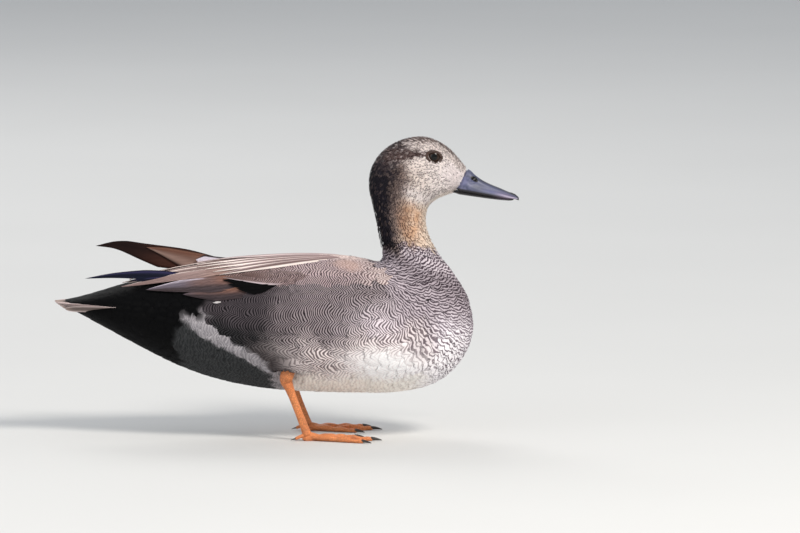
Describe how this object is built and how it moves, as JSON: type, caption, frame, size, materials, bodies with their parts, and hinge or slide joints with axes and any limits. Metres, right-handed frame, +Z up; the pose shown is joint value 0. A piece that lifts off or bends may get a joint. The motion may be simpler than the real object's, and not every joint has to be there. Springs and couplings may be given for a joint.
{
  "type": "standing duck",
  "caption": "Life-size standing drake duck with a raised neck, folded wings, finely barred grey plumage, black tail coverts, a slate bill and orange webbed feet.",
  "frame": {"origin": "centre of the bounding box on the floor under the feet", "axes": "+X forwards to the bill, +Y to the duck's left side, +Z up"},
  "size_m": [0.348, 0.1112, 0.2258],
  "materials": {
    "breast_feather": "finely barred grey contour feathers",
    "flank_feather": "finely vermiculated grey contour feathers",
    "head_feather": "pale buff, finely speckled, with a darker crown",
    "covert_feather": "velvety black",
    "wing_feather": "warm grey-brown with paler edges",
    "tertial_feather": "grey-brown with silvery edges",
    "primary_feather": "dark brown",
    "bill_horn": "smooth slate horn",
    "eye_gloss": "wet dark brown",
    "leg_skin": "scaly orange skin",
    "claw_horn": "dull dark horn"
  },
  "bodies": {
    "root": {"trunk": "flank_feather", "tail": "covert_feather", "neck": "breast_feather", "head": "head_feather", "bill_upper": "bill_horn", "bill_lower": "bill_horn", "eye_right": "eye_gloss", "wing_right": "wing_feather", "tertials_right": "tertial_feather", "primaries_right": "primary_feather", "thigh_right": "breast_feather", "leg_right": "leg_skin", "foot_right": "leg_skin", "claw_outer_right": "claw_horn", "claw_middle_right": "claw_horn", "claw_inner_right": "claw_horn", "claw_hind_right": "claw_horn", "eye_left": "eye_gloss", "wing_left": "wing_feather", "tertials_left": "tertial_feather", "primaries_left": "primary_feather", "thigh_left": "breast_feather", "leg_left": "leg_skin", "foot_left": "leg_skin", "claw_outer_left": "claw_horn", "claw_middle_left": "claw_horn", "claw_inner_left": "claw_horn", "claw_hind_left": "claw_horn"}
  },
  "joints": []
}
